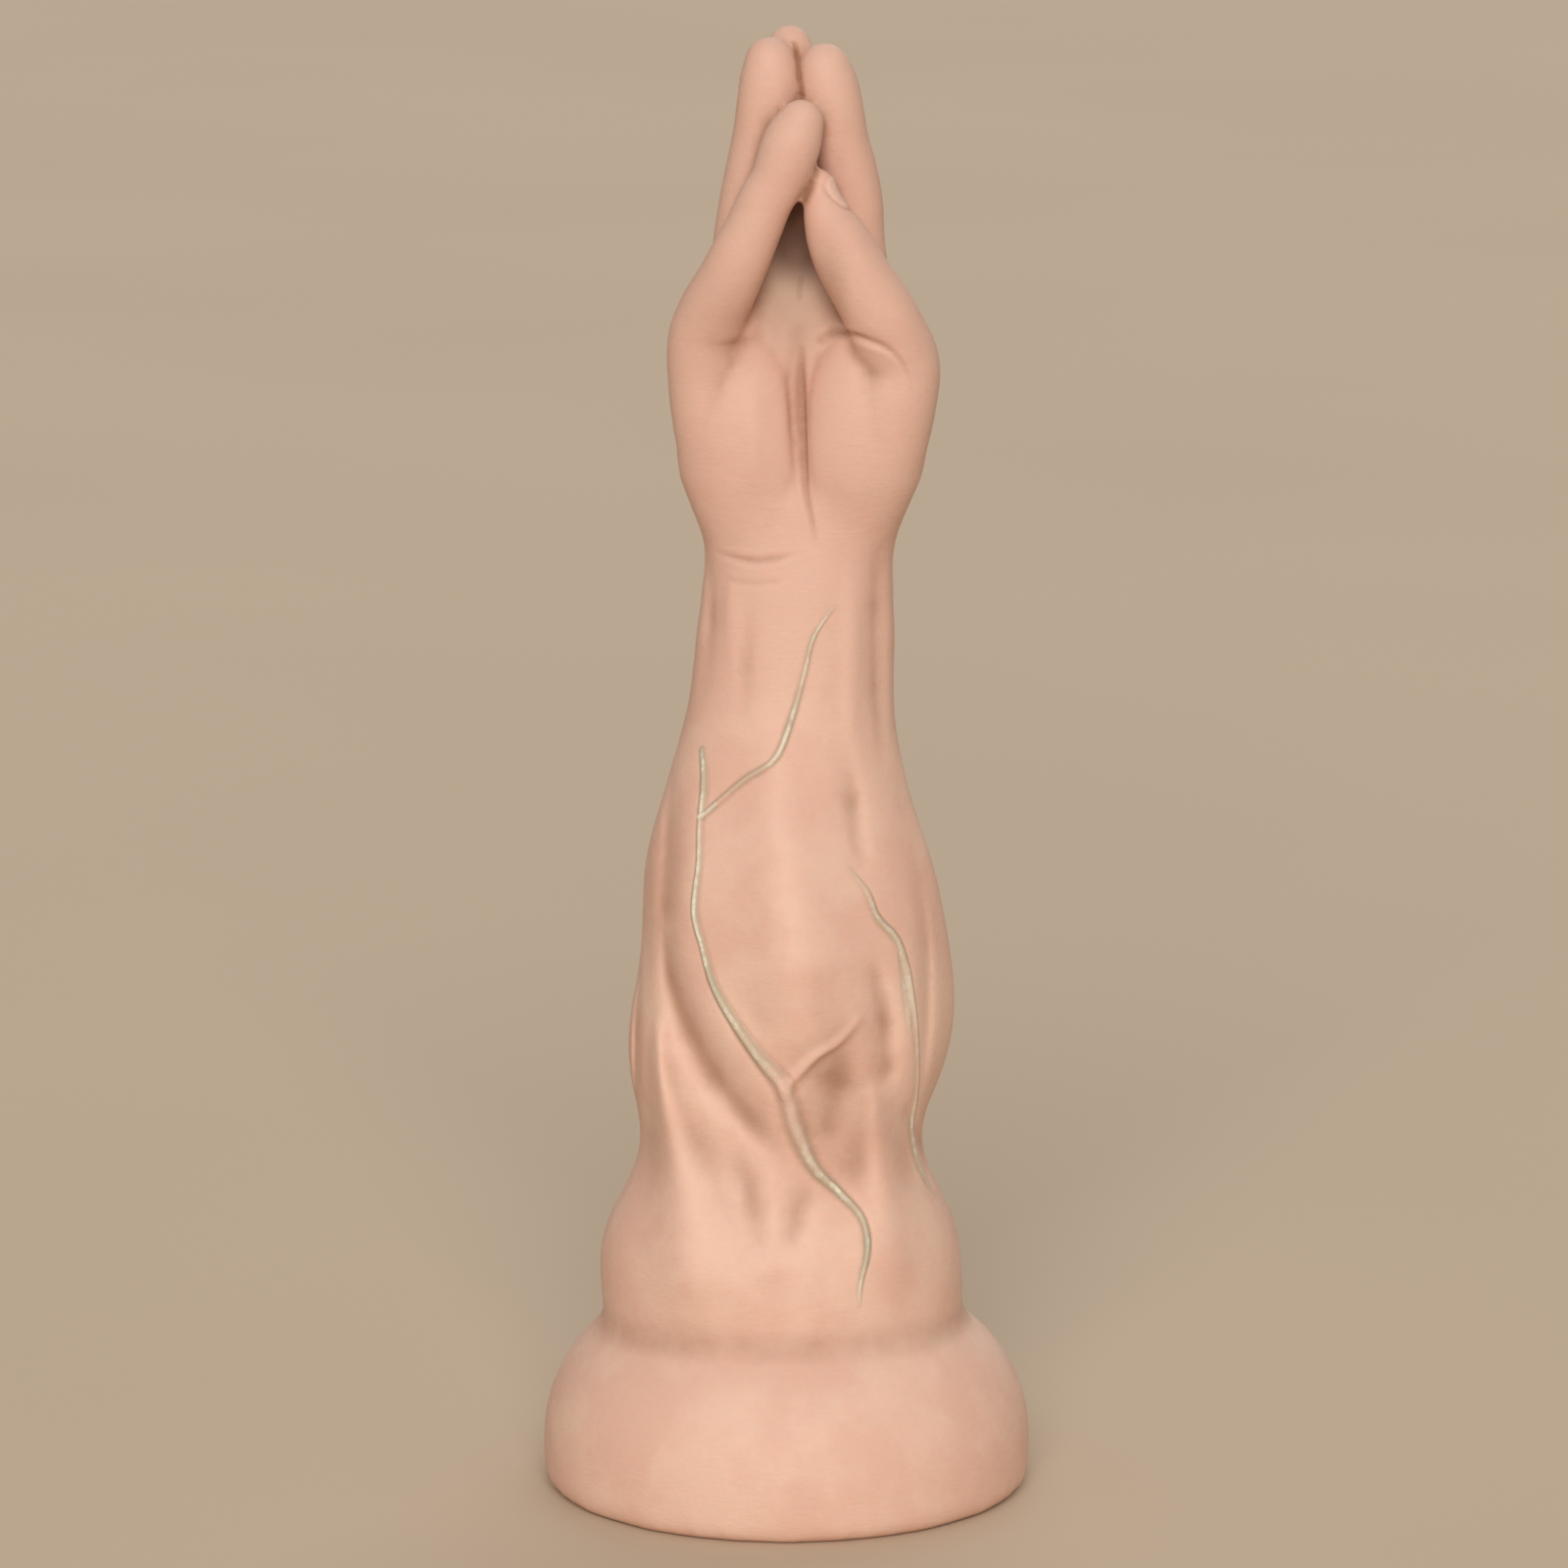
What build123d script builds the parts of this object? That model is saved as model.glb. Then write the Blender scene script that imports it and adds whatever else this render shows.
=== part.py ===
"""A soft cast model of a right hand and forearm, standing upright on a flared round foot.

The fingertips are gathered to a point, with the thumb and the little finger meeting in front of
a cupped palm. The casting is one body of soft rubber. It is modelled here as the regions that its
own creases and narrow places divide it into. Each region is a closed solid, and the regions meet
face to face.

Millimetres. The origin is the middle of the foot's underside, +Z runs up the arm to the
fingertips, -Y is the palm side and +X is the thumb side.
"""

from build123d import *

import os
from typing import NamedTuple

# Driving dimensions of the foot
FOOT_DIAMETER = 134.0
FOOT_HEIGHT = 46.0  # underside to the crease where the arm begins
FOOT_WALL_HEIGHT = 13.0  # top of the upright part of the rim
FOOT_EDGE_RADIUS = 2.5  # round on the bottom edge
FOOT_TOP_DIAMETER = 98.0  # where the dome of the foot meets the arm

# Heights of the narrow places that divide the arm into its regions
ELBOW_WAIST = 97.0
MUSCLE_END = 205.0
WRIST_CREASE = 257.0
KNUCKLE_TOP = 326.0


class Girth(NamedTuple):
    """A level section of the arm: its height, its middle and its two half sizes."""

    height: float
    middle_x: float
    middle_y: float
    half_width: float
    half_depth: float


class Ball(NamedTuple):
    """A round station along a digit or a mound: its centre and its radius."""

    x: float
    y: float
    z: float
    radius: float


# The arm from the foot to the knuckles
ARM_GIRTHS = [
    Girth(FOOT_HEIGHT, -1.8, 0.0, 48.5, 45.0),
    Girth(58, -1.5, 0.0, 49.8, 46.0),
    Girth(72, -1.6, 0.0, 48.0, 44.5),
    Girth(85, -1.4, 0.0, 41.8, 39.5),
    Girth(ELBOW_WAIST, -1.5, 0.0, 38.5, 36.8),
    Girth(110, -1.0, -0.5, 41.0, 38.0),
    Girth(126, 0.5, -1.0, 43.8, 39.0),
    Girth(141, 1.6, -1.0, 42.6, 38.5),
    Girth(156, 1.4, -1.0, 40.7, 37.0),
    Girth(172, 0.0, -0.5, 38.8, 34.5),
    Girth(189, -0.4, 0.0, 34.2, 30.5),
    Girth(MUSCLE_END, 0.3, 0.5, 30.2, 26.5),
    Girth(222, 1.6, 1.0, 27.6, 23.5),
    Girth(240, 2.6, 1.0, 26.9, 21.5),
    Girth(WRIST_CREASE, 3.4, 1.5, 25.6, 20.0),
    Girth(272, 4.0, 3.0, 28.5, 19.0),
    Girth(290, 3.6, 5.5, 31.0, 17.5),
    Girth(306, 2.6, 6.5, 31.5, 16.0),
    Girth(318, 2.0, 6.5, 28.5, 13.5),
    Girth(KNUCKLE_TOP, 2.5, 5.5, 22.0, 9.0),
]

# The two mounds of the palm and the five digits, each from its root to its tip
THUMB_MOUND = [
    Ball(15, -3, 262, 9.0),
    Ball(20, -9, 274, 14.0),
    Ball(22, -12, 290, 16.8),
    Ball(26, -14, 304, 14.8),
    Ball(29, -15, 316, 10.6),
]
HEEL_MOUND = [
    Ball(-8, -3, 261, 10.0),
    Ball(-12, -6, 274, 13.6),
    Ball(-15, -8, 291, 15.4),
    Ball(-18.5, -8.5, 307, 13.0),
    Ball(-21.5, -9, 318, 10.0),
]
THUMB = [
    THUMB_MOUND[-1],
    Ball(22.4, -17.5, 331, 9.0),
    Ball(15.4, -18.2, 344, 8.3),
    Ball(10.6, -16.8, 356.6, 5.9),
]
INDEX_FINGER = [
    Ball(20.5, 6, 310, 10.5),
    Ball(18.8, 3, 333, 8.7),
    Ball(17.4, -0.5, 354, 8.2),
    Ball(13.6, -4, 373, 7.4),
    Ball(11.4, -5.6, 388, 6.8),
]
MIDDLE_FINGER = [
    Ball(4.5, 12, 312, 11.0),
    Ball(4.3, 11.5, 336, 9.1),
    Ball(3.8, 9.2, 357, 8.5),
    Ball(2.6, 6.2, 378, 7.4),
    Ball(1.6, 4.4, 393.3, 6.7),
]
RING_FINGER = [
    Ball(-14, 7, 311, 10.3),
    Ball(-12.2, 4.5, 334, 8.6),
    Ball(-10.3, 1, 355, 8.1),
    Ball(-6.6, -3, 373, 7.5),
    Ball(-4.4, -5.4, 389.9, 7.3),
]
LITTLE_FINGER = [
    HEEL_MOUND[-1],
    Ball(-15, -12, 334, 7.8),
    Ball(-5, -15, 356, 7.2),
    Ball(1, -15.6, 367.5, 6.3),
    Ball(4.6, -15.4, 377.2, 5.3),
]

# A limb's last ring is this share of its round tip, so that the tip overlaps it cleanly
NECK_OF_TIP = 0.97


def limb(label, balls, cut_by=()):
    """A round limb through its balls, flat at the root and round at the tip."""
    centres = [Vector(ball.x, ball.y, ball.z) for ball in balls]
    ahead = [(b - a).normalized() for a, b in zip(centres, centres[1:])]
    directions = [ahead[0], *[(a + b).normalized() for a, b in zip(ahead, ahead[1:])], ahead[-1]]
    radii = [ball.radius for ball in balls]
    radii[-1] *= NECK_OF_TIP
    with BuildPart() as piece:
        for centre, direction, radius in zip(centres, directions, radii):
            with BuildSketch(Plane(origin=centre, x_dir=(1, 0, 0), z_dir=direction)):
                Circle(radius)
        loft()
        with Locations(centres[-1]):
            Sphere(balls[-1].radius)
        for neighbour in cut_by:
            add(neighbour, mode=Mode.SUBTRACT)
    piece.part.label = label
    return piece.part


def arm_region(label, bottom, top):
    """The stretch of the arm between two heights."""
    with BuildPart() as region:
        add(arm.part)
        split(bisect_by=Plane.XY.offset(bottom), keep=Keep.TOP)
        split(bisect_by=Plane.XY.offset(top), keep=Keep.BOTTOM)
    region.part.label = label
    return region.part


# The foot: an upright rim under a dome
foot_radius = FOOT_DIAMETER / 2
with BuildPart() as foot:
    with BuildSketch(Plane.XZ):
        with BuildLine():
            underside = Line((0, 0), (foot_radius - FOOT_EDGE_RADIUS, 0))
            edge = TangentArc(underside @ 1, (foot_radius, FOOT_EDGE_RADIUS), tangent=(1, 0))
            wall = Line(edge @ 1, (foot_radius, FOOT_WALL_HEIGHT))
            dome = TangentArc(wall @ 1, (FOOT_TOP_DIAMETER / 2, FOOT_HEIGHT), tangent=(0, 1))
            top = Line(dome @ 1, (0, FOOT_HEIGHT))
            Line(top @ 1, (0, 0))
        make_face()
    revolve(axis=Axis.Z)
foot.part.label = "base_foot"

# The arm: one smooth form, divided at its narrow places
with BuildPart() as arm:
    for girth in ARM_GIRTHS:
        with BuildSketch(Plane((girth.middle_x, girth.middle_y, girth.height))):
            Ellipse(girth.half_width, girth.half_depth)
    loft()

elbow_bulge = arm_region("elbow_bulge", FOOT_HEIGHT, ELBOW_WAIST)
forearm = arm_region("forearm", ELBOW_WAIST, MUSCLE_END)
wrist = arm_region("wrist", MUSCLE_END, WRIST_CREASE)
palm = arm_region("palm", WRIST_CREASE, KNUCKLE_TOP)

# The mounds and digits, each trimmed by the regions that it grows out of or leans on
thumb_mound = limb("thumb_mound", THUMB_MOUND, cut_by=[palm, wrist])
heel_mound = limb("heel_mound", HEEL_MOUND, cut_by=[palm, wrist])
thumb = limb("thumb", THUMB, cut_by=[thumb_mound, palm])
index_finger = limb("index_finger", INDEX_FINGER, cut_by=[palm, thumb_mound, thumb])
middle_finger = limb("middle_finger", MIDDLE_FINGER, cut_by=[palm, index_finger])
ring_finger = limb("ring_finger", RING_FINGER, cut_by=[palm, heel_mound, middle_finger])
little_finger = limb("little_finger", LITTLE_FINGER, cut_by=[heel_mound, palm, ring_finger])

regions = [
    foot.part, elbow_bulge, forearm, wrist, palm, thumb_mound, heel_mound,
    thumb, index_finger, middle_finger, ring_finger, little_finger,
]
os.makedirs("parts", exist_ok=True)
for region in regions:
    export_step(region, f"parts/{region.label}.step")
    print(region.label, "solids", len(region.solids()), "volume", round(region.volume))
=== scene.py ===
"""A soft cast hand and forearm on a flared foot, with its raised veins, in a plain studio."""

import math
from typing import NamedTuple

import bpy
import numpy as np
from bpy.props import FloatProperty, FloatVectorProperty, IntProperty, PointerProperty
from mathutils import Euler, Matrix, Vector
from mathutils.bvhtree import BVHTree


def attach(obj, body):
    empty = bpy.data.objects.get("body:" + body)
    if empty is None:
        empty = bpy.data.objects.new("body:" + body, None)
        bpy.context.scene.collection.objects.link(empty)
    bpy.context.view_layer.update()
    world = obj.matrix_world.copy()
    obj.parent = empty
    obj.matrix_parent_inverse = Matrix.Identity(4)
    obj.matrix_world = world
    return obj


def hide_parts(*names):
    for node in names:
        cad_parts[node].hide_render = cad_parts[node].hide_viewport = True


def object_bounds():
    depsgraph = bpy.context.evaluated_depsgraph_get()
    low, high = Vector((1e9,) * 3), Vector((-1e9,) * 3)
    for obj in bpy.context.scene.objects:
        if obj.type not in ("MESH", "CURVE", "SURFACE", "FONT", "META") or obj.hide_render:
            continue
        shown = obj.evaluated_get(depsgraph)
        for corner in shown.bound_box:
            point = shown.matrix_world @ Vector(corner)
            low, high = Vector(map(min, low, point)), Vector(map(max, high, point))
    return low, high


bl_info = {
    "name": "Cast Hand and Forearm",
    "version": (1, 0, 0),
    "blender": (4, 5, 0),
    "location": "3D View > Sidebar > Cast Hand",
    "description": "Models a soft cast hand and forearm that stands on a flared foot",
    "category": "Add Mesh",
}

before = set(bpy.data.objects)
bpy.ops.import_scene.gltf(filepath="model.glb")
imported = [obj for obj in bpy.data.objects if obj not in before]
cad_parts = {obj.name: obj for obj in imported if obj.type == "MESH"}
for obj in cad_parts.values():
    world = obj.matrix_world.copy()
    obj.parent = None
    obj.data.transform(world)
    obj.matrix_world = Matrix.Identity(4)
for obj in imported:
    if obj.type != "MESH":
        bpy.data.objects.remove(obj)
CAD_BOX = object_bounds()

MM = 0.001
PIECE = "cast_skin"
BODY = "root"
HEIGHT = CAD_BOX[1].z

# Where the sculptor stands: the palm side is worked from the camera's own place
CAMERA_PLACE = Vector((-0.0007, -1.9646, 0.5745))
CAMERA_AIM = Vector((-0.0007, 0.0, 0.195))
CAMERA_LENS = 169.3
SIDE_DISTANCE = 2.0


def srgb(red, green, blue):
    """A colour as Blender's shaders take it, from the 0 to 255 that a screen shows."""
    return tuple(((c / 255 + 0.055) / 1.055) ** 2.4 for c in (red, green, blue))


# ---------------------------------------------------------------- settings


class CastSettings(bpy.types.PropertyGroup):
    """The sizes and colours that a user would change."""

    arm_voxel: FloatProperty(
        name="Arm Grain", description="Size of the voxels that fuse the arm's first forms",
        default=2.8 * MM, min=1 * MM, max=6 * MM, unit="LENGTH")
    arm_relaxing: IntProperty(
        name="Arm Relaxing", description="How often the arm is smoothed before it is sculpted",
        default=7, min=0, max=40)
    hand_voxel: FloatProperty(
        name="Hand Grain", description="Size of the voxels that fuse the hand's first forms",
        default=1.05 * MM, min=0.6 * MM, max=3 * MM, unit="LENGTH")
    hand_relaxing: IntProperty(
        name="Hand Relaxing", description="How often the hand is smoothed before it is sculpted",
        default=5, min=0, max=40)
    light_skin: FloatVectorProperty(
        name="Light Skin", description="The rubber's main colour", subtype="COLOR",
        default=srgb(231, 192, 169))
    pink_skin: FloatVectorProperty(
        name="Pink Skin", description="The colour of the pinker patches in the rubber", subtype="COLOR",
        default=srgb(226, 182, 160))
    # Painted shade: the browner colour mixed into creases, hollows, valleys and the lines where digits
    # touch
    painted_shade_colour: FloatVectorProperty(
        name="Cavity", description="The browner colour that settles in creases and hollows",
        subtype="COLOR", default=srgb(160, 114, 86))
    # Mixed in by height, so that the skin is darker and pinker towards the top, over the hand
    hand_skin: FloatVectorProperty(
        name="Hand", description="The slightly deeper colour of the hand", subtype="COLOR",
        default=srgb(216, 170, 150))
    # Painted shadow: the dark brown in the space behind the crossed tips
    deep_shadow_colour: FloatVectorProperty(
        name="Deep Hollow", description="The dark brown between the crossed tips", subtype="COLOR",
        default=srgb(98, 58, 36))
    # Painted shade: the greyer tone in the recessed cup of the hand
    cup_shade_colour: FloatVectorProperty(
        name="Cup of the Hand", description="The greyer colour in the cup of the hand",
        subtype="COLOR", default=srgb(184, 156, 134))
    nail_skin: FloatVectorProperty(
        name="Nails", description="The paler colour of the nails", subtype="COLOR",
        default=srgb(234, 202, 182))
    # Paint and painted highlight: the pale cream on top of the veins
    vein_crest: FloatVectorProperty(
        name="Vein Crest", description="The pale cream paint on top of the veins", subtype="COLOR",
        default=srgb(240, 232, 212))
    # Paint and painted shade: the veins' grey-green paint, darkened beside the veins
    vein_flank: FloatVectorProperty(
        name="Vein Flank", description="The grey-green paint beside the veins", subtype="COLOR",
        default=srgb(160, 155, 128))
    floor_colour: FloatVectorProperty(
        name="Floor", description="The studio's pale floor", subtype="COLOR",
        default=srgb(205, 184, 160))
    key_strength: FloatProperty(
        name="Key Light", description="Strength of the broad soft light in front", default=2.3,
        min=0.0)


# ---------------------------------------------------------------- modelling helpers


def select_only(piece):
    """Makes one object the only one selected, and the active one."""
    bpy.ops.object.select_all(action="DESELECT")
    piece.select_set(True)
    bpy.context.view_layer.objects.active = piece


def apply_modifier(piece, kind, **settings):
    """Adds a modifier with these settings and applies it."""
    modifier = piece.modifiers.new(kind.title(), kind)
    for name, value in settings.items():
        setattr(modifier, name, value)
    select_only(piece)
    bpy.ops.object.modifier_apply(modifier=modifier.name)


def mesh_points(mesh):
    """The places of a mesh's points, one row each."""
    points = np.empty(len(mesh.vertices) * 3, np.float32)
    mesh.vertices.foreach_get("co", points)
    return points.reshape(-1, 3).astype(float)


def mesh_normals(mesh):
    """The way that the skin faces at each point."""
    normals = np.empty(len(mesh.vertices) * 3, np.float32)
    mesh.vertex_normals.foreach_get("vector", normals)
    return normals.reshape(-1, 3).astype(float)


def set_points(mesh, points):
    """Moves a mesh's points to these places."""
    mesh.vertices.foreach_set("co", points.astype(np.float32).ravel())
    mesh.update()


def set_attribute(mesh, name, values):
    """Gives each point its value, which a finish reads by name."""
    attribute = mesh.attributes.get(name) or mesh.attributes.new(name, "FLOAT", "POINT")
    attribute.data.foreach_set("value", values.astype(np.float32))


def mesh_edges(mesh):
    """The two points of each edge, one row each."""
    edges = np.empty(len(mesh.edges) * 2, np.int32)
    mesh.edges.foreach_get("vertices", edges)
    return edges.reshape(-1, 2)


def neighbour_mean(edges, values, count):
    """The mean of each point's neighbours, for one or more columns of values."""
    ends = np.concatenate([edges[:, 0], edges[:, 1]])
    others = np.concatenate([edges[:, 1], edges[:, 0]])
    shares = np.maximum(np.bincount(ends, minlength=count), 1)
    columns = [np.bincount(ends, weights=values[others, i], minlength=count) / shares
               for i in range(values.shape[1])]
    return np.stack(columns, axis=1)


def relax(mesh, weights, rounds):
    """Smooths the points, each as much as its weight says."""
    points, edges = mesh_points(mesh), mesh_edges(mesh)
    for _ in range(rounds):
        points += 0.5 * weights[:, None] * (neighbour_mean(edges, points, len(points)) - points)
    set_points(mesh, points)


def smooth_step(value):
    """0 up to 0, 1 from 1 on, and smooth between."""
    value = np.clip(value, 0, 1)
    return value * value * (3 - 2 * value)


# ---------------------------------------------------------------- sculpting strokes


def eye_of(view):
    """Where the sculptor's eye is for a view: "palm", or degrees round the piece from the palm side."""
    if view == "palm":
        return CAMERA_PLACE
    turn = math.radians(view)
    return Vector((math.sin(turn) * SIDE_DISTANCE, -math.cos(turn) * SIDE_DISTANCE, HEIGHT / 2))


def across_of(view):
    """The direction that is to the right in a view."""
    turn = 0.0 if view == "palm" else math.radians(view)
    return Vector((math.cos(turn), math.sin(turn), 0))


class Stroke(NamedTuple):
    """A pass of a modelling tool over the skin.

    The path is points (across, up) in mm, as the view sees them on the plane through the arm's
    middle. Width is the tool's half width, and height what it adds or, below zero, takes away.
    Either may be one number, or one for each point of the path.
    """

    path: list
    width: object
    height: object
    tool: str = "swell"
    view: object = "palm"
    to_eye: bool = False  # the skin moves to and from the eye, and not the way it faces
    paint: object = 0  # how much pale paint the stroke carries, 0 to 1


def relief(path, width, height, view="palm"):
    """A broad stroke that shapes what a view sees and leaves the outline there alone."""
    return Stroke(path, width, height, view=view, to_eye=True)


def painted_vein(path, width, height, paint, view="palm"):
    """A raised vein that carries pale paint."""
    return Stroke(path, width, height, "vein", view, paint=paint)


def swell(distance):
    """The section of a soft swelling, by the distance from its path in half widths."""
    return np.exp(-2.2 * distance**2)


def crease(distance):
    """The section of a crease with slightly raised lips."""
    return np.clip(1 - distance, 0, 1) ** 1.4 - 0.16 * np.exp(-(((distance - 1.5) / 0.5) ** 2))


def vein(distance):
    """The section of a rounded vein in a shallow groove."""
    return np.exp(-1.6 * distance**3) - 0.2 * np.exp(-(((distance - 1.65) / 0.4) ** 2))


TOOLS = {"swell": (swell, 1.7), "crease": (crease, 2.6), "vein": (vein, 2.6)}  # section and reach
PATH_STEP = 0.7 * MM
PATH_SMOOTHING = 6
FADE = 0.18  # share of a path over which a stroke of one height comes in and goes out
BATCH = 4000  # points measured at a time, to spare memory


def smooth_path(path, spacing=PATH_STEP):
    """The path as a Catmull-Rom curve of close points, and each one's place from 0 to 1."""
    points = np.array(path, float) * MM
    if len(points) == 1:
        return points, np.array([0.5]), np.array([0.5])
    steps = np.linalg.norm(np.diff(points, axis=0), axis=1)
    knots = np.concatenate([[0], np.cumsum(steps)])
    padded = np.vstack([2 * points[0] - points[1], points, 2 * points[-1] - points[-2]])
    curve, places = [], []
    for i, step in enumerate(steps):
        a, b, c, d = padded[i:i + 4]
        t = np.linspace(0, 1, max(2, int(step / spacing)), endpoint=False)[:, None]
        curve.append(0.5 * (2 * b + (c - a) * t + (2 * a - 5 * b + 4 * c - d) * t**2
                            + (3 * b - a - 3 * c + d) * t**3))
        places.append(knots[i] + t[:, 0] * step)
    curve.append(points[-1:])
    places.append(knots[-1:])
    return np.vstack(curve), np.concatenate(places) / knots[-1], knots / knots[-1]


def on_skin(tree, stroke):
    """The stroke's path on the skin, the way the skin faces, and its width, height and paint there."""
    curve, places, knots = smooth_path(stroke.path)
    eye, across = eye_of(stroke.view), across_of(stroke.view)
    rows = []
    for (u, z), place in zip(curve, places):
        target = across * u + Vector((0, 0, z))
        point, normal, _, _ = tree.ray_cast(eye, (target - eye).normalized())
        if point is not None:
            rows.append((*point, *normal, place))
    rows = np.array(rows).reshape(-1, 7)
    for _ in range(PATH_SMOOTHING if len(rows) > 2 else 0):
        rows[1:-1, :6] = (rows[:-2, :6] + 2 * rows[1:-1, :6] + rows[2:, :6]) / 4
    place = rows[:, 6]
    width = np.interp(place, knots, np.broadcast_to(stroke.width, knots.shape)) * MM
    height = np.interp(place, knots, np.broadcast_to(stroke.height, knots.shape)) * MM
    if np.isscalar(stroke.height) and len(knots) > 1:
        height = height * smooth_step(place / FADE) * smooth_step((1 - place) / FADE)
    paint = np.interp(place, knots, np.broadcast_to(stroke.paint, knots.shape))
    return rows[:, :3], rows[:, 3:6], width, height, paint


def nearest(points, normals, path, facing, reach):
    """The points within reach of the path, how far each is from it, and the nearest part of it."""
    low, high = path.min(0) - reach, path.max(0) + reach
    near = np.flatnonzero(((points > low) & (points < high)).all(1))
    if not len(near):
        return near, np.zeros(0), np.zeros(0, int)
    distance, index = np.empty(len(near)), np.empty(len(near), int)
    for start in range(0, len(near), BATCH):
        batch = slice(start, start + BATCH)
        gaps = np.linalg.norm(points[near[batch]][:, None] - path[None], axis=2)
        index[batch] = gaps.argmin(1)
        distance[batch] = gaps.min(1)
    keep = (distance < reach) & ((normals[near] * facing[index]).sum(1) > 0)
    return near[keep], distance[keep], index[keep]


def press(piece, strokes):
    """Works the strokes into the skin, and returns each point's nearness to a path and its paint."""
    mesh = piece.data
    points, normals = mesh_points(mesh), mesh_normals(mesh)
    tree = BVHTree.FromObject(piece, bpy.context.evaluated_depsgraph_get())
    move, near_path, painted = np.zeros((len(points), 3)), np.zeros(len(points)), np.zeros(len(points))
    for stroke in strokes:
        path, facing, width, height, paint = on_skin(tree, stroke)
        if not len(path):
            raise RuntimeError(f"a stroke misses the skin: {stroke.path}")
        tool, reach = TOOLS[stroke.tool]
        rows, distance, index = nearest(points, normals, path, facing, width.max() * reach)
        share = distance / width[index]
        way = np.array(across_of(stroke.view).cross((0, 0, 1))) if stroke.to_eye else normals[rows]
        move[rows] += (height[index] * tool(share))[:, None] * way
        near_path[rows] = np.maximum(near_path[rows], np.clip(1 - share / reach, 0, 1))
        painted[rows] = np.maximum(painted[rows], paint[index])
    set_points(mesh, points + move)
    return near_path, painted


# ---------------------------------------------------------------- block-out


class Mass(NamedTuple):
    """An egg of clay: its middle and half sizes in mm, and its turn about X, Y and Z in degrees."""

    x: float
    y: float
    z: float
    sizes: tuple
    turn: tuple = (0, 0, 0)


HAND_MASSES = [
    Mass(21, 6, 311, (10.5, 9.5, 12)),  # knuckles
    Mass(5, 11, 316, (10.5, 9.5, 12)),
    Mass(-10.5, 8, 313, (10, 9.5, 12)),
    Mass(27, -5, 299, (10, 12, 19), (0, 12, 0)),  # web between thumb and index finger
    Mass(20, -5.5, 291, (18, 15, 32), (0, 6, 0)),  # ball of the thumb
    Mass(-11, -3, 287, (18.5, 15, 34), (0, -5, 0)),  # heel of the hand
    Mass(4, 0, 327, (13, 7, 21), (-12, 0, 0)),  # floor of the hollow
    Mass(-14, -1, 318, (9, 10, 13)),  # root of the little finger
    Mass(11.5, 4.5, 335, (5, 4.5, 14)),  # the fingers' flesh, where they press together
    Mass(-4, 6.5, 335, (5, 4.5, 14)),
    Mass(3.3, -1.5, 381, (2.6, 3.6, 9)),
]


class Ball(NamedTuple):
    """One ball of a string of clay balls: its middle and radius in mm."""

    x: float
    y: float
    z: float
    radius: float


# Each digit is a string of balls, from deep in the hand to its tip
DIGITS = {
    "thumb": [
        Ball(17, 0, 262, 9.5), Ball(22, -4, 275, 12), Ball(25, -7, 288, 12.4), Ball(27.5, -8, 300, 12.6),
        Ball(30, -9.5, 311, 11), Ball(26.6, -13, 321, 10.2), Ball(23.2, -14.6, 328, 9.6),
        Ball(19.3, -15.6, 334.3, 9.2), Ball(16, -16, 340, 8.9), Ball(13.6, -16, 344.8, 8.2),
        Ball(11.3, -15.6, 349.5, 6.8), Ball(9.5, -15, 355.2, 5.1), Ball(8.9, -14.6, 359.8, 4)],
    "index": [
        Ball(12, 4, 275, 10), Ball(16, 5.5, 292, 10.5), Ball(19.5, 6, 308, 10.5), Ball(20, 5.5, 320, 10),
        Ball(19, 4, 332, 8.9), Ball(18.1, 2.5, 343, 8.3), Ball(17.6, 1, 353, 8.3), Ball(16, -0.4, 362, 8.2),
        Ball(13.8, -1.6, 370, 8.2), Ball(12.3, -2.6, 378, 8.4), Ball(11.2, -3.2, 384.5, 8),
        Ball(10.2, -3.5, 389.4, 6.8)],
    "middle": [
        Ball(3.8, 6, 276, 9.8), Ball(4.2, 8.5, 293, 10.3), Ball(4.6, 10.8, 310, 10.6),
        Ball(4.6, 11.2, 324, 10.2), Ball(4.4, 10, 338, 8.9), Ball(4, 8, 350, 8.5), Ball(3.4, 6.2, 361, 8.3),
        Ball(3, 4.6, 371, 7.9), Ball(2.4, 3.6, 381, 7.6), Ball(1.6, 3.2, 388.5, 7.1),
        Ball(0.8, 3, 394.3, 6.1)],
    "ring": [
        Ball(-6.5, 4, 274, 9.5), Ball(-9.5, 5.5, 291, 10), Ball(-12, 6.2, 307, 10.3),
        Ball(-12.5, 5.8, 320, 10), Ball(-12, 4.2, 333, 8.9), Ball(-11.2, 2.4, 344, 8.4),
        Ball(-9.8, 0.6, 354, 8.2), Ball(-8, -1, 363, 8.2), Ball(-6.2, -2.2, 372, 8.2),
        Ball(-5.2, -3, 380, 8.2), Ball(-4.6, -3.4, 386, 7.9), Ball(-4.5, -3.5, 391, 6.8)],
    "little": [
        Ball(-12, 0, 264, 9.8), Ball(-16.5, -3, 280, 11), Ball(-19.5, -4, 294, 11),
        Ball(-21.5, -5, 306, 10.4), Ball(-21.8, -7, 317, 10.1), Ball(-19.5, -9.3, 325.5, 9.3),
        Ball(-15.5, -11.5, 333.5, 8.6),
        Ball(-12, -13.2, 341, 8.2), Ball(-8.8, -14.4, 348, 7.7), Ball(-5.6, -15.2, 355.5, 7.4),
        Ball(-2.4, -15.6, 361, 7.3), Ball(-0.2, -15.6, 366.5, 7.9), Ball(1.6, -15.4, 371.4, 7.8),
        Ball(3.8, -15.2, 376.2, 6.2)],
}
ARM_NODES = ("base_foot", "elbow_bulge", "forearm", "wrist", "palm")
STRING_STEP = 1.2 * MM  # from one ball of a string to the next
HAND_CUT = 247 * MM  # where the finer skin of the hand begins
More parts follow.
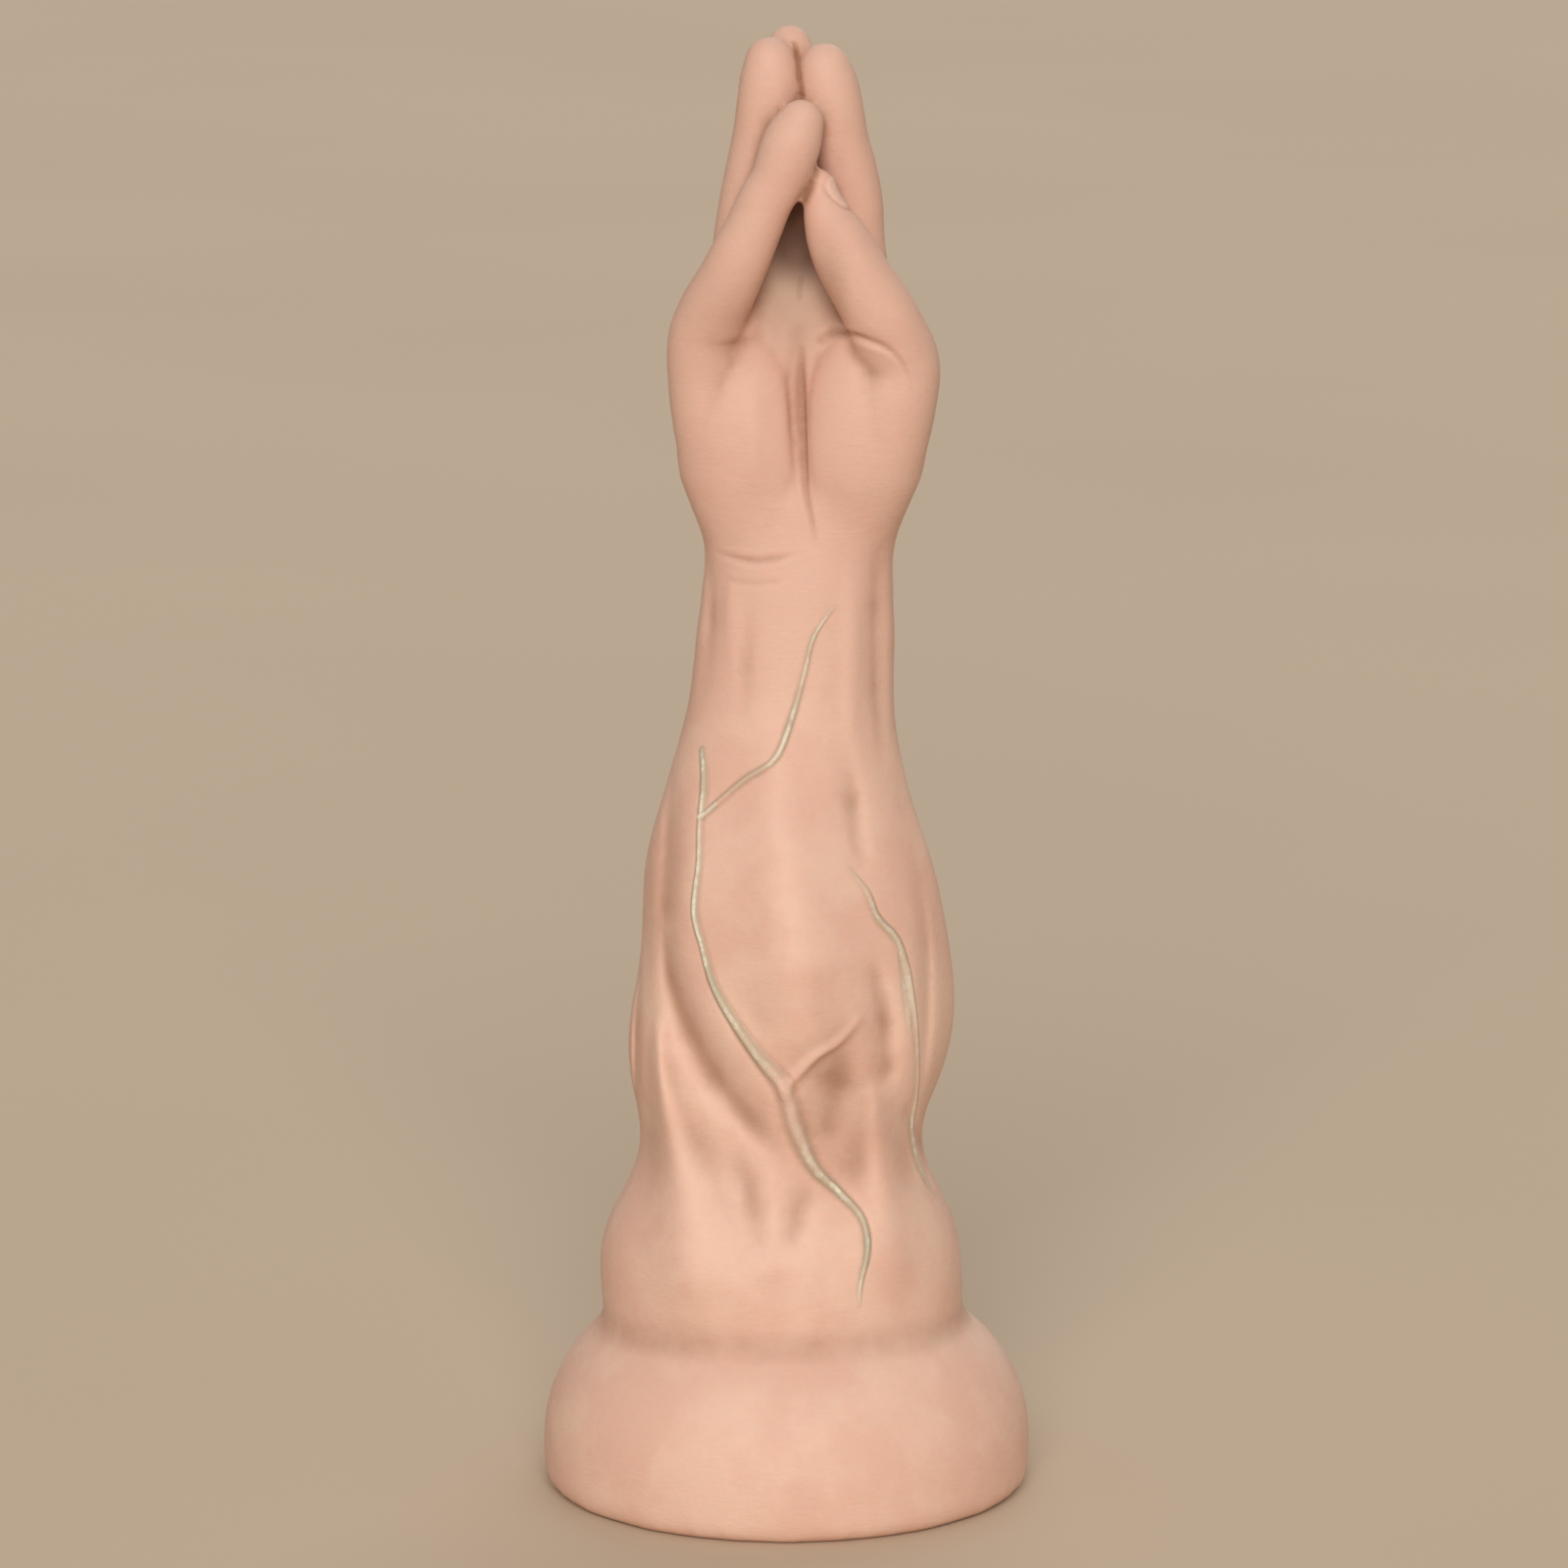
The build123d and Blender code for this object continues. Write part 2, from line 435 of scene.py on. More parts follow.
PALM_BLEND = 265 * MM  # where the masses of the palm run out into the wrist
FOOT_TOP = 36 * MM  # below here the skin is plain and needs few faces
FOOT_FACES_KEPT = 0.2
SEAM_REACH, SEAM_RELAXING = 4 * MM, 8  # each blend's reach up and down, and its rounds of smoothing
PALM_REACH, PALM_RELAXING = 9 * MM, 90
CUP_RELAXING = 60


def clay_of_cad():
    """The arm's CAD regions as clay, each one's loose triangles merged."""
    copies = []
    for name in ARM_NODES:
        copy = bpy.data.objects.new("clay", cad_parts[name].data.copy())
        copy.data.materials.clear()
        bpy.context.scene.collection.objects.link(copy)
        copies.append(copy)
    bpy.ops.object.select_all(action="DESELECT")
    for copy in copies:
        copy.select_set(True)
    bpy.context.view_layer.objects.active = copies[0]
    bpy.ops.object.mode_set(mode="EDIT")
    bpy.ops.mesh.select_all(action="SELECT")
    bpy.ops.mesh.remove_doubles(threshold=0.01 * MM)
    bpy.ops.object.mode_set(mode="OBJECT")
    return copies


def add_mass(mass):
    """Adds one egg of clay as a sphere at its size and place."""
    bpy.ops.mesh.primitive_uv_sphere_add(
        segments=40, ring_count=24, radius=1,
        location=[c * MM for c in (mass.x, mass.y, mass.z)],
        rotation=[math.radians(angle) for angle in mass.turn],
        scale=[size * MM for size in mass.sizes])
    return bpy.context.object


def add_string(balls):
    """Adds a digit as one mesh: copies of a sphere, close together along a curve through the balls."""
    bpy.ops.mesh.primitive_uv_sphere_add(segments=28, ring_count=16, radius=1)
    piece = bpy.context.object
    ball = mesh_points(piece.data)
    faces = [tuple(face.vertices) for face in piece.data.polygons]
    string, _, _ = smooth_path(balls, STRING_STEP)
    points = np.vstack([ball * radius + (x, y, z) for x, y, z, radius in string])
    piece.data.clear_geometry()
    piece.data.from_pydata(points.tolist(), [], [
        tuple(corner + turn * len(ball) for corner in face)
        for turn in range(len(string)) for face in faces])
    return piece


def fuse(clay, voxel, rounds, keep_hand):
    """A copy of the clay remeshed as one skin, and cut to the hand or to the rest."""
    piece = clay.copy()
    piece.data = clay.data.copy()
    bpy.context.scene.collection.objects.link(piece)
    apply_modifier(piece, "REMESH", mode="VOXEL", voxel_size=voxel, adaptivity=0.0)
    apply_modifier(piece, "SMOOTH", factor=0.5, iterations=rounds)
    bpy.ops.object.mode_set(mode="EDIT")
    bpy.ops.mesh.select_all(action="SELECT")
    gap = voxel / 2 if keep_hand else -voxel / 4
    bpy.ops.mesh.bisect(plane_co=(0, 0, HAND_CUT + gap), plane_no=(0, 0, 1),
                        clear_inner=keep_hand, clear_outer=not keep_hand)
    bpy.ops.object.mode_set(mode="OBJECT")
    return piece


def thin(piece, weights, kept):
    """Leaves a share of the faces where the weights are above 0, on skin plain enough to need few."""
    group = piece.vertex_groups.new(name="plain")
    group.add(np.flatnonzero(weights > 0).tolist(), 1.0, "REPLACE")
    share = (weights > 0).mean()
    apply_modifier(piece, "DECIMATE", vertex_group="plain", ratio=1 - share * (1 - kept))
    piece.vertex_groups.clear()


def block_out(settings):
    """Fuses the CAD regions and the added clay into one closed skin, finer on the hand."""
    parts = clay_of_cad()
    bpy.ops.object.select_all(action="DESELECT")
    parts += [add_mass(mass) for mass in HAND_MASSES]
    parts += [add_string(balls) for balls in DIGITS.values()]
    bpy.ops.object.select_all(action="DESELECT")
    for part in parts:
        part.select_set(True)
    clay = parts[0]
    bpy.context.view_layer.objects.active = clay
    bpy.ops.object.join()
    arm = fuse(clay, settings.arm_voxel, settings.arm_relaxing, keep_hand=False)
    press(arm, ARM_FORMS)
    apply_modifier(arm, "SUBSURF", levels=1, render_levels=1)
    thin(arm, mesh_points(arm.data)[:, 2] < FOOT_TOP, FOOT_FACES_KEPT)
    piece = fuse(clay, settings.hand_voxel, settings.hand_relaxing, keep_hand=True)
    bpy.data.objects.remove(clay)
    select_only(piece)
    arm.select_set(True)
    bpy.ops.object.join()
    bpy.context.tool_settings.mesh_select_mode = (False, True, False)
    bpy.ops.object.mode_set(mode="EDIT")
    bpy.ops.mesh.select_all(action="DESELECT")
    bpy.ops.mesh.select_non_manifold(extend=False, use_wire=False, use_multi_face=False,
                                     use_non_contiguous=False, use_verts=False)
    bpy.ops.mesh.bridge_edge_loops()
    bpy.ops.mesh.select_all(action="SELECT")
    bpy.ops.mesh.normals_make_consistent(inside=False)
    bpy.ops.object.mode_set(mode="OBJECT")
    piece.name = PIECE
    piece.data.name = PIECE
    heights = mesh_points(piece.data)[:, 2]
    relax(piece.data, smooth_step(2 - np.abs(heights - HAND_CUT) / SEAM_REACH), SEAM_RELAXING)
    relax(piece.data, smooth_step(1.7 - np.abs(heights - PALM_BLEND) / PALM_REACH), PALM_RELAXING)
    relax(piece.data, inside(mesh_points(piece.data), PALM_CUP), CUP_RELAXING)
    return piece


# ---------------------------------------------------------------- the forms, broad to fine

BACK, THUMB_SIDE, LITTLE_SIDE = 180, 90, -90  # views, in degrees round from the palm side

ARM_FORMS = [
    # the long belly of the forearm
    relief([(-4, 202), (-2, 182), (1, 162), (3, 144), (4, 128)], (9, 14, 18, 18, 12),
           (1.5, 4.5, 6.5, 7, 4.5)),
    # the lower masses above the foot, each with a pointed top
    relief([(-35.5, 128), (-34.5, 114), (-32, 98), (-29, 80), (-27, 60)], (2.6, 5, 10, 15, 17),
           (2.5, 5.5, 7, 7, 4.5)),
    relief([(24, 108), (25, 98), (27, 84), (28, 66)], (3, 7, 11, 14), (2, 4, 5, 3.5)),
    relief([(-5, 86), (-3, 72), (-2, 60)], (3.5, 5, 5), (1, 2, 1)),
    # the side planes that fall away from the belly
    relief([(-31, 204), (-32, 182), (-33, 160)], (5, 6, 6), (-1, -3, -2.6)),
    relief([(-40, 145), (-41, 125), (-41, 104)], (3.4, 4, 4), (-2, -4, -3)),
    relief([(36, 168), (38, 150), (38, 128), (37, 112)], (5, 5, 5, 4), (-1, -2.4, -2.4, -1)),
    # the valleys
    relief([(-33, 152), (-31, 139), (-26, 125), (-19, 112), (-10, 101), (-2, 93)], (5, 6.5, 8, 9, 8, 5),
           (-2, -4.5, -6, -6, -4, -1)),
    relief([(-14, 93), (-9, 78), (-6, 62)], (3, 3.5, 4), (-0.5, -0.9, -0.3)),
    relief([(5, 80), (0, 68), (-4, 54)], (4, 5, 5.5), (-0.6, -1.5, -0.6)),
    relief([(16, 206), (17.5, 190), (20, 172)], (4, 5, 4), (-0.4, -2, -0.8)),
    relief([(24, 142), (26, 128), (27, 116)], (5, 7, 7), (-1.5, -4, -3)),
    relief([(17, 122), (14, 112), (11, 100)], (8, 12, 8.5), (-2, -4.2, -2.4)),
    relief([(33, 104), (37, 92), (40, 80)], (3, 3.5, 3), (-2, -3, -1.5)),
    # the back: a mass down each side, the furrow of the bone between them, and the elbow
    relief([(-20, 205), (-25, 180), (-27, 150), (-25, 122)], (7, 11, 13, 10), (1, 3, 3.6, 2), BACK),
    relief([(20, 200), (26, 170), (28, 140), (25, 114)], (7, 10, 12, 10), (1, 2.4, 3, 2), BACK),
    relief([(9, 238), (8, 205), (7, 170), (3, 135), (-2, 108)], (5, 6, 7, 7.5, 8),
           (-0.5, -2, -2.8, -2.6, -1), BACK),
    relief([(-10, 228), (-12, 200), (-13, 172), (-12, 146)], (5, 6, 6, 6), (-0.3, -1.3, -1.5, -0.5), BACK),
    relief([(0, 92), (0, 78), (1, 66)], (8, 12, 12), (2, 4.5, 3), BACK),
    relief([(-18, 98), (-21, 82), (-23, 62)], (6, 8, 8), (-0.5, -1.8, -0.5), BACK),
    relief([(19, 98), (22, 82), (24, 62)], (6, 8, 8), (-0.5, -1.8, -0.5), BACK),
    # the sides
    relief([(-4, 205), (-3, 175), (-2, 140), (-3, 112)], (6, 9, 10, 8), (0.6, 1.6, 1.6, 0.6), THUMB_SIDE),
    relief([(14, 185), (15, 150), (14, 118)], (4, 4.5, 4.5), (-0.6, -2, -1), THUMB_SIDE),
    relief([(-14, 190), (-16, 160), (-12, 120)], (4, 4.5, 4.5), (-0.6, -1.8, -1), LITTLE_SIDE),
]
WRIST_FORMS = [
    Stroke([(17.5, 258), (17.5, 238), (17, 214), (19, 190)], (5, 5, 5, 6), (0, 0.9, 1, 0)),
    Stroke([(24.5, 262), (25, 244), (25, 222), (26, 196)], (5, 6, 6, 5), (0, -1.3, -1.3, 0)),
    Stroke([(-15, 256), (-15, 240), (-15, 222)], (4, 4, 4.5), (0, 0.8, 0)),
    Stroke([(-20.5, 258), (-21, 240), (-23, 216)], (4.5, 4.5, 5), (0, -1, 0)),
    Stroke([(-10, 246), (-11, 226), (-12, 208)], (3, 3.4, 3), (0, -0.6, 0)),
    Stroke([(1, 243)], 9, 2.2, view=-140),  # the knob of the wrist bone
    Stroke([(0, 256), (0, 238)], 7, (1.2, 0.2), view=140),
]
PALM_FORMS = [
    Stroke([(3, 318), (2.8, 306), (3.2, 294), (4.6, 278), (6.5, 262)], (3.4, 4, 4, 3.4, 3),
           (-0.6, -2, -2, -1, -0.2)),
    Stroke([(-9, 306), (-9, 290), (-8, 276)], (3, 4, 3), (0.1, 0.7, 0.1)),
    Stroke([(-25, 314), (-15, 313), (-8, 316)], (3.8, 4, 3.8), (-0.2, -0.9, -0.3)),
    Stroke([(13, 318), (21, 317), (28, 314)], (2.6, 2.8, 2.4), (-0.4, -0.8, -0.4)),
]

# The back of the hand and the joints of the digits: how far across and up each one is
KNUCKLES = [(-20.5, 314), (-5, 319.5), (11.5, 316), (21.5, 308)]
TENDON_ROOTS = [(-5, 258), (-2.5, 258), (0.5, 258), (3, 258)]
MIDDLE_JOINTS = [(-17.4, 352), (-3.8, 357), (9.8, 352)]
END_JOINTS = [(-13.8, 375), (-2, 380), (6.6, 377)]
FINGER_WRINKLES = [  # the joints, how far above them their wrinkles are, and the wrinkles' half length
    (MIDDLE_JOINTS, (-2.6, -0.9, 0.8, 2.5), 4.2),
    (END_JOINTS, (-0.8, 0.8), 3.4),
]


def knuckle_strokes():
    """Rounds each knuckle, hollows the skin between them and raises the tendons behind them."""
    strokes = [Stroke([knuckle], 6.5, 1.7, view=BACK) for knuckle in KNUCKLES]
    for (u, z), (next_u, next_z) in zip(KNUCKLES, KNUCKLES[1:]):
        middle, top = (u + next_u) / 2, (z + next_z) / 2
        strokes.append(Stroke([(middle, top + 10), (middle, top), (middle, top - 14)],
                              3, (-0.3, -1.5, -0.2), view=BACK))
    for (u, z), (root_u, root_z) in zip(KNUCKLES, TENDON_ROOTS):
        path = [(root_u, root_z), (0.5 * u + 0.5 * root_u, 284), (u, z - 4)]
        strokes.append(Stroke(path, (1.8, 2, 2.4), (0.2, 0.9, 0.5), view=BACK))
    return strokes


def joint_strokes():
    """Swells the joints of the three long fingers a little and wrinkles the skin over them."""
    strokes = [Stroke([joint], 6, 0.5, view=BACK) for joint in MIDDLE_JOINTS]
    for joints, offsets, reach in FINGER_WRINKLES:
        for u, z in joints:
            for offset in offsets:
                sag = 0.35 * offset
                half = reach - 0.5 * abs(offset)
                ends, middle = z + offset - sag, z + offset + sag
                path = [(u - half, ends), (u, middle), (u + half, ends)]
                strokes.append(Stroke(path, 0.75, (-0.05, -0.4, -0.05), "crease", BACK))
    return strokes


CREASES = [
    # palm and wrist
    Stroke([(9, 316), (14.6, 319.2), (20.4, 316.7), (27, 314), (31, 310), (34, 303.5)],
           (1.4, 1.7, 1.5, 1.3, 1.1, 0.9), (-0.5, -1.2, -1, -0.7, -0.5, -0.1), "crease"),
    Stroke([(-20, 315), (-13.8, 315.2), (-6.4, 317)], (1.8, 2.2, 1.8), (-0.1, -0.5, -0.1), "crease"),
    Stroke([(-18.6, 258.4), (-10.2, 256.3), (-4, 256.6), (2.5, 258)], (1.2, 1.7, 1.5, 1.2),
           (-0.2, -0.9, -0.7, -0.1), "crease"),
    Stroke([(-18, 251.5), (-8.6, 250), (-0.7, 251)], 1.4, -0.3, "crease"),
    Stroke([(4, 314), (3.9, 304), (4.6, 289), (5.3, 275), (7, 266), (8, 260)],
           (1.1, 1.7, 1.5, 1.1, 0.9, 0.8), (-0.3, -1.4, -1.2, -0.7, -0.5, -0.1), "crease"),
    Stroke([(4.4, 334), (3.4, 330), (3.6, 326.5)], 0.9, -0.6, "crease"),
]

# Painted shadow: dark lines where the digits lie against each other, which move no skin
CONTACT_SHADOW_LINES = [
    Stroke([(2, 396), (3.2, 389), (4.4, 382)], (0.6, 1, 1), 0),
    Stroke([(7.9, 362), (6.7, 358), (5.5, 354.5), (4.4, 351), (3.6, 347.5)], (0.9, 1.2, 1.3, 1.3, 1), 0),
]


# ---------------------------------------------------------------- veins

VEINS = [
    painted_vein([(12.6, 243.4), (7.3, 235.4), (4.6, 224.6), (0.7, 211), (-3.3, 201.7), (-11.3, 196.2),
                  (-19, 189.5), (-23.4, 185.7)],
                 (0.4, 0.55, 0.65, 0.8, 0.8, 0.8, 0.8, 0.8), (0.15, 0.4, 0.45, 0.55, 0.6, 0.7, 0.8, 0.6),
                 (0.3, 0.7, 0.4, 0.8, 0.5, 0.6, 0.2, 0.2)),
    painted_vein([(-23, 204.4), (-22.5, 195), (-23.6, 184), (-23.9, 173), (-25.2, 159.5), (-23, 150),
                  (-20, 139), (-14, 128), (-7.4, 118.5), (-0.7, 110), (2.5, 99), (7.4, 88), (14, 81.3),
                  (20.3, 74.3), (22.2, 67.4), (21.9, 62), (20.3, 55), (20, 49)],
                 (0.8, 1, 0.8, 0.8, 0.9, 0.85, 0.9, 1.1, 1.4, 1.9, 2, 1.4, 1, 0.9, 0.85, 0.75, 0.65, 0.5),
                 (0.2, 0.7, 0.7, 0.7, 0.8, 0.8, 0.9, 1, 1.2, 1.6, 1.5, 1.2, 0.9, 0.7, 0.65, 0.55, 0.4, 0.1),
                 (0.9, 0.9, 0.5, 0.7, 0.9, 0.8, 1, 0.7, 0.7, 0.15, 0.25, 0.6, 0.9, 0.7, 1, 1, 0.6, 0.2)),
    painted_vein([(16.7, 171.8), (22, 165), (24.7, 158), (30, 152), (32.7, 144.5), (34, 137.7),
                  (35.3, 128), (35.8, 119), (36, 111)],
                 (0.5, 0.8, 0.9, 1, 1, 1, 1, 0.9, 0.7),
                 (0.1, 0.4, 0.6, 0.6, 0.55, 0.5, 0.45, 0.35, 0.05),
                 (0.2, 0.4, 0.8, 0.7, 0.5, 0.4, 0.4, 0.4, 0.1)),
    # its lower end, which runs round the side of the arm
    painted_vein([(-1.7, 121), (-0.4, 115), (1.2, 109), (4.2, 101), (7.2, 92), (11, 84), (16.5, 77)],
                 (0.7, 0.8, 0.9, 1, 1.1, 1, 0.7), (0.05, 0.3, 0.45, 0.6, 0.7, 0.5, 0.1),
                 (0.1, 0.3, 0.5, 0.8, 0.9, 0.7, 0.2), view=60),
    # the worn pale patch beside its upper end
    painted_vein([(31, 149.5), (32.2, 143), (33.1, 135), (33.4, 127)], (0.8, 1.6, 1.6, 0.9), 0,
                 (0.4, 0.5, 0.4, 0.1)),
]
BARE_VEINS = [
    Stroke([(-1, 109), (2.5, 114), (8, 120), (14, 123.5), (21, 131)], (2.4, 2.8, 2.8, 2.6, 2.2),
           (0.8, 1.6, 1.6, 1.2, 0.1)),
]
BACK_VEINS = [
    Stroke([(-13, 303), (-9, 292), (-10, 280), (-14, 268), (-15, 252), (-12, 234), (-14, 214)], 1.3,
           (0.1, 0.5, 0.6, 0.5, 0.5, 0.4, 0), "vein", BACK),
    Stroke([(3.5, 306), (3, 294), (-2, 283), (-10, 278)], 1.2, (0.1, 0.5, 0.5, 0.3), "vein", BACK),
    Stroke([(16, 300), (13, 288), (12, 272), (8, 260)], 1.2, (0.1, 0.5, 0.5, 0.1), "vein", BACK),
]


# ---------------------------------------------------------------- nails


class Nail(NamedTuple):
    """A nail: a point inside the digit, in mm, the ways it faces and leans, and its half sizes."""

    x: float
    y: float
    z: float
    out: tuple
    half_length: float = 5.2
    half_width: float = 4.4
    lean: tuple = (0, 0, 1)


NAILS = [
    Nail(12.2, -3.2, 385, (0.72, 0.69, 0.1), lean=(-0.15, 0, 1)),
    Nail(1.4, 2, 389, (0.05, 1, 0.12)),
    Nail(-6, -3.3, 386.5, (-0.72, 0.69, 0.1), lean=(0.1, 0, 1)),
    Nail(8.6, -14.8, 355.6, (0.9, -0.2, 0.38), 4.7, 3.3, (-0.46, 0, 1)),
]
PALM_CUP = Mass(3, 0, 326, (14, 9, 20))  # the cup of the hand, smoothed in the block-out and painted with a greyer shade
DEEP_HOLLOW = Mass(3, -3, 345, (7.5, 11, 12))  # painted shadow: the dark space behind the crossed tips
# Eggs of painted shade: under the little finger's root, along the thumb's inner edge, in the valley below
# the vein fork, and on the side plane that turns away left of the belly
SHADE_PLACES = [
    Mass(-17, -13, 325, (9, 9, 13)),  # under the root of the little finger
    Mass(12, -20, 335, (4, 9, 12)),  # the inner edge of the thumb
    Mass(15, -38, 112, (10, 14, 18), (0, 20, 0)),  # below the fork of the veins
    Mass(-35, -24, 176, (7, 14, 30)),  # the side plane left of the belly
]
NAIL_SKIN = 11 * MM  # how far from a nail's middle its skin is worked
NAIL_MARGIN = 1.6  # how far past a nail's end, in mm, the skin is made finer
NAIL_RISE, GROOVE_DEPTH, EDGE_RISE = 0.18, 0.34, 0.12  # of the plate, round it, and at its end, in mm


def nail_places(piece):
    """Where each nail's middle is on the skin, with its directions out, along and across."""
    tree = BVHTree.FromObject(piece, bpy.context.evaluated_depsgraph_get())
    for nail in NAILS:
        inside, out = Vector((nail.x, nail.y, nail.z)) * MM, Vector(nail.out).normalized()
        middle, _, _, _ = tree.ray_cast(inside, out)
        along = Vector(nail.lean)
        along = (along - along.dot(out) * out).normalized()
        yield nail, middle, out, along, along.cross(out)


def near_nails(piece):
    """1 on the skin round the nails."""
    points = mesh_points(piece.data)
    near = np.zeros(len(points))
    for nail, middle, out, _, _ in nail_places(piece):
        gap = points - np.array(middle)
        reach = (nail.half_length + NAIL_MARGIN) * MM
        near[(np.linalg.norm(gap, axis=1) < reach) & (gap @ np.array(out) > -4 * MM)] = 1
    return near


def set_nails(piece):
    """Raises each nail from a narrow groove, with its free edge proud, and returns where nails are."""
    mesh = piece.data
    points, normals = mesh_points(mesh), mesh_normals(mesh)
    move, mask = np.zeros_like(points), np.zeros(len(points))
    for nail, middle, out, along, across in nail_places(piece):
        gap = (points - np.array(middle)) / MM
        s, t = gap @ np.array(along) / nail.half_length, gap @ np.array(across) / nail.half_width
        outer = (normals @ np.array(out) > -0.1) & (np.linalg.norm(gap, axis=1) < NAIL_SKIN / MM)
        edge = (np.abs(s) ** 2.6 + np.abs(t) ** 2.6) ** (1 / 2.6)
        plate = smooth_step((1.03 - edge) / 0.12) * outer
        groove = np.exp(-(((edge - 1.1) / 0.09) ** 2)) * outer * smooth_step((0.9 - s) / 0.3)
        free_edge = np.exp(-(((s - 0.92) / 0.16) ** 2)) * (np.abs(t) < 0.85) * plate
        height = NAIL_RISE * plate - GROOVE_DEPTH * groove + EDGE_RISE * free_edge
        move += normals * height[:, None] * MM
        mask = np.maximum(mask, plate)
    set_points(mesh, points + move)
    return mask


# ---------------------------------------------------------------- finishes


class Term:
    """A node's output that can be used in Python sums, each of which adds its Math node."""

    def __init__(self, finish, socket):
        self.finish = finish
        self.socket = socket

    def maths(self, operation, *values):
        """This value and others through one Math node."""
        node = self.finish.add("Math", {"operation": operation}, dict(enumerate((self, *values))))
        return self.finish.term(node)

    def __add__(self, other):
        return self.maths("ADD", other)

    def __sub__(self, other):
        return self.maths("SUBTRACT", other)

    def __rsub__(self, other):
        return (self * -1).maths("ADD", other)

    def __mul__(self, other):
        return self.maths("MULTIPLY", other)

    def clip(self):
        """The value kept between 0 and 1."""
        return self.maths("MAXIMUM", 0.0).maths("MINIMUM", 1.0)

    __radd__ = __add__
    __rmul__ = __mul__


class Finish:
    """A material whose nodes are added one call at a time."""

    def __init__(self, name):
        self.material = bpy.data.materials.new(name)
        self.material.use_nodes = True
        self.tree = self.material.node_tree
        self.tree.nodes.clear()

    def add(self, kind, settings=None, sockets=None):
        """Adds a node, makes its settings, and feeds its sockets with values or links."""
        node = self.tree.nodes.new("ShaderNode" + kind)
        for name, value in (settings or {}).items():
            setattr(node, name, value)
        for name, value in (sockets or {}).items():
            if isinstance(value, Term):
                self.tree.links.new(value.socket, node.inputs[name])
            else:
                node.inputs[name].default_value = value
        return node

    def term(self, node, output=0):
        """A node's output as a value for Python sums."""
        return Term(self, node.outputs[output])

    def mix(self, factor, first, second):
        """A colour part of the way from the first to the second."""
        node = self.add("Mix", {"data_type": "RGBA"}, {0: factor, 6: first, 7: second})
        return self.term(node, 2)

    def noise(self, place, scale, detail=3.0, roughness=0.5):
        """Soft random patches, from 0 to 1."""
        return self.term(self.add("TexNoise", sockets={
            "Vector": place, "Scale": scale, "Detail": detail, "Roughness": roughness}))

    def attribute(self, name):
        """A value that the piece's points carry."""
        return self.term(self.add("Attribute", {"attribute_name": name}), "Fac")

    def ramp(self, value, low, high):
        """0 below low, 1 above high, and smooth between."""
        node = self.add("MapRange", {"interpolation_type": "SMOOTHSTEP"},
                        {"Value": value, "From Min": low, "From Max": high})
        return self.term(node)

    def stretched(self, place, factors):
        """The place scaled along each axis, so that a pattern on it is stretched."""
        return self.term(self.add("Mapping", sockets={"Vector": place, "Scale": factors}))


def opaque(colour):
    """A colour with the full alpha that a socket asks for."""
    return (*colour, 1.0)


